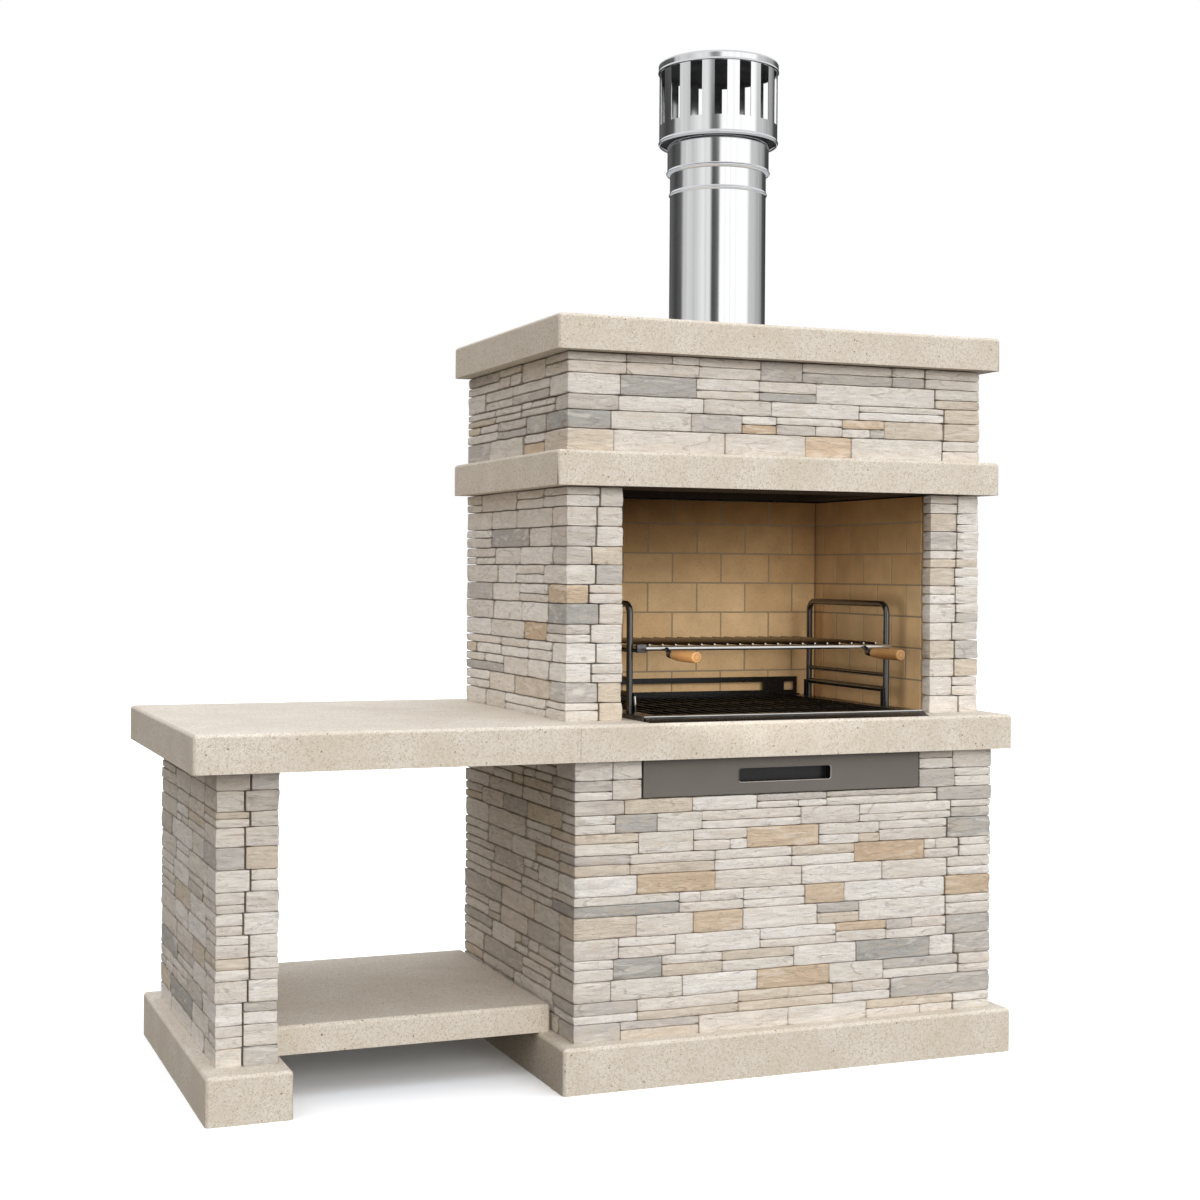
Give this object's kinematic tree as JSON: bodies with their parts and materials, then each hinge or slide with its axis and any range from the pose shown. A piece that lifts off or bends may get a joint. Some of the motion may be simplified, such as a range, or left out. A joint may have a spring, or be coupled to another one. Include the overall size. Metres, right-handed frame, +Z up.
{
  "type": "stone garden barbecue",
  "caption": "Garden barbecue clad in split ledge stone, with firebrick hearth, sliding grill, lift-out ember grate, ash drawer, steel flue with slotted cowl, and side table with lower shelf.",
  "frame": {"origin": "on the ground under the middle of the outline in plan", "axes": "+Z up, -Y towards the person who cooks, +X from the side table towards the hearth"},
  "size_m": [2.028, 0.9261, 2.513],
  "materials": {
    "cast_stone": "cast artificial stone, beige with fine brown speckle, matt",
    "cast_wall": "plain cast concrete, matt",
    "ledge_stone": "split ledge stone, cream with grey and tan stones, matt",
    "firebrick": "ochre firebrick, matt",
    "stainless": "bright rolled stainless sheet",
    "black_steel": "black heatproof paint, satin",
    "black_iron": "black iron, matt",
    "grill_steel": "stainless rod, bright",
    "handle_wood": "oiled beech, turned",
    "drawer_steel": "dark grey satin paint",
    "zinc_steel": "zinc coated sheet"
  },
  "bodies": {
    "masonry": {"base_plinth": "cast_stone", "leg_plinth": "cast_stone", "lower_shelf": "cast_stone", "table_slab": "cast_stone", "hearth_slab": "cast_stone", "lintel_slab": "cast_stone", "top_slab": "cast_stone", "base_left_wall": "cast_wall", "base_right_wall": "cast_wall", "base_front_wall": "cast_wall", "base_back_wall": "cast_wall", "drawer_left_cheek": "cast_wall", "drawer_right_cheek": "cast_wall", "leg_core": "cast_wall", "left_pillar_core": "cast_wall", "right_pillar_core": "cast_wall", "firebox_back_wall": "cast_wall", "hood_left_wall": "cast_wall", "hood_right_wall": "cast_wall", "hood_front_wall": "cast_wall", "hood_back_wall": "cast_wall", "base_front_stones": "ledge_stone", "base_left_stones": "ledge_stone", "base_right_stones": "ledge_stone", "drawer_left_stones": "ledge_stone", "drawer_right_stones": "ledge_stone", "leg_stones": "ledge_stone", "hood_stones": "ledge_stone", "left_pillar_stones": "ledge_stone", "right_pillar_stones": "ledge_stone", "back_firebricks": "firebrick", "left_firebricks": "firebrick", "right_firebricks": "firebrick", "flue_pipe": "stainless", "flue_socket": "stainless", "cowl_drum": "stainless", "cowl_lid": "stainless", "fire_tray": "black_steel", "left_grill_frame": "black_steel", "right_grill_frame": "black_steel", "rear_ember_guard": "black_steel", "drawer_left_runner": "zinc_steel", "drawer_right_runner": "zinc_steel"},
    "drawer": {"drawer_front": "drawer_steel", "drawer_handle_pocket": "drawer_steel", "drawer_box": "zinc_steel", "drawer_screws": "zinc_steel"},
    "cooking_grill": {"cooking_grill_frame": "grill_steel", "cooking_grill_bars": "grill_steel", "left_handle_tang": "grill_steel", "right_handle_tang": "grill_steel", "left_handle_grip": "handle_wood", "right_handle_grip": "handle_wood"},
    "ember_grate": {"ember_grate": "black_iron"}
  },
  "joints": [
    {"name": "drawer_slide", "type": "slide", "parent": "masonry", "child": "drawer", "axis": [0, -1, 0], "range_m": [0, 0.45]},
    {"name": "grill_slide", "type": "slide", "parent": "masonry", "child": "cooking_grill", "axis": [0, -1, 0], "range_m": [0, 0.3]},
    {"name": "grate_lift", "type": "slide", "parent": "masonry", "child": "ember_grate", "axis": [0, 0, 1], "range_m": [0, 0.1]}
  ]
}
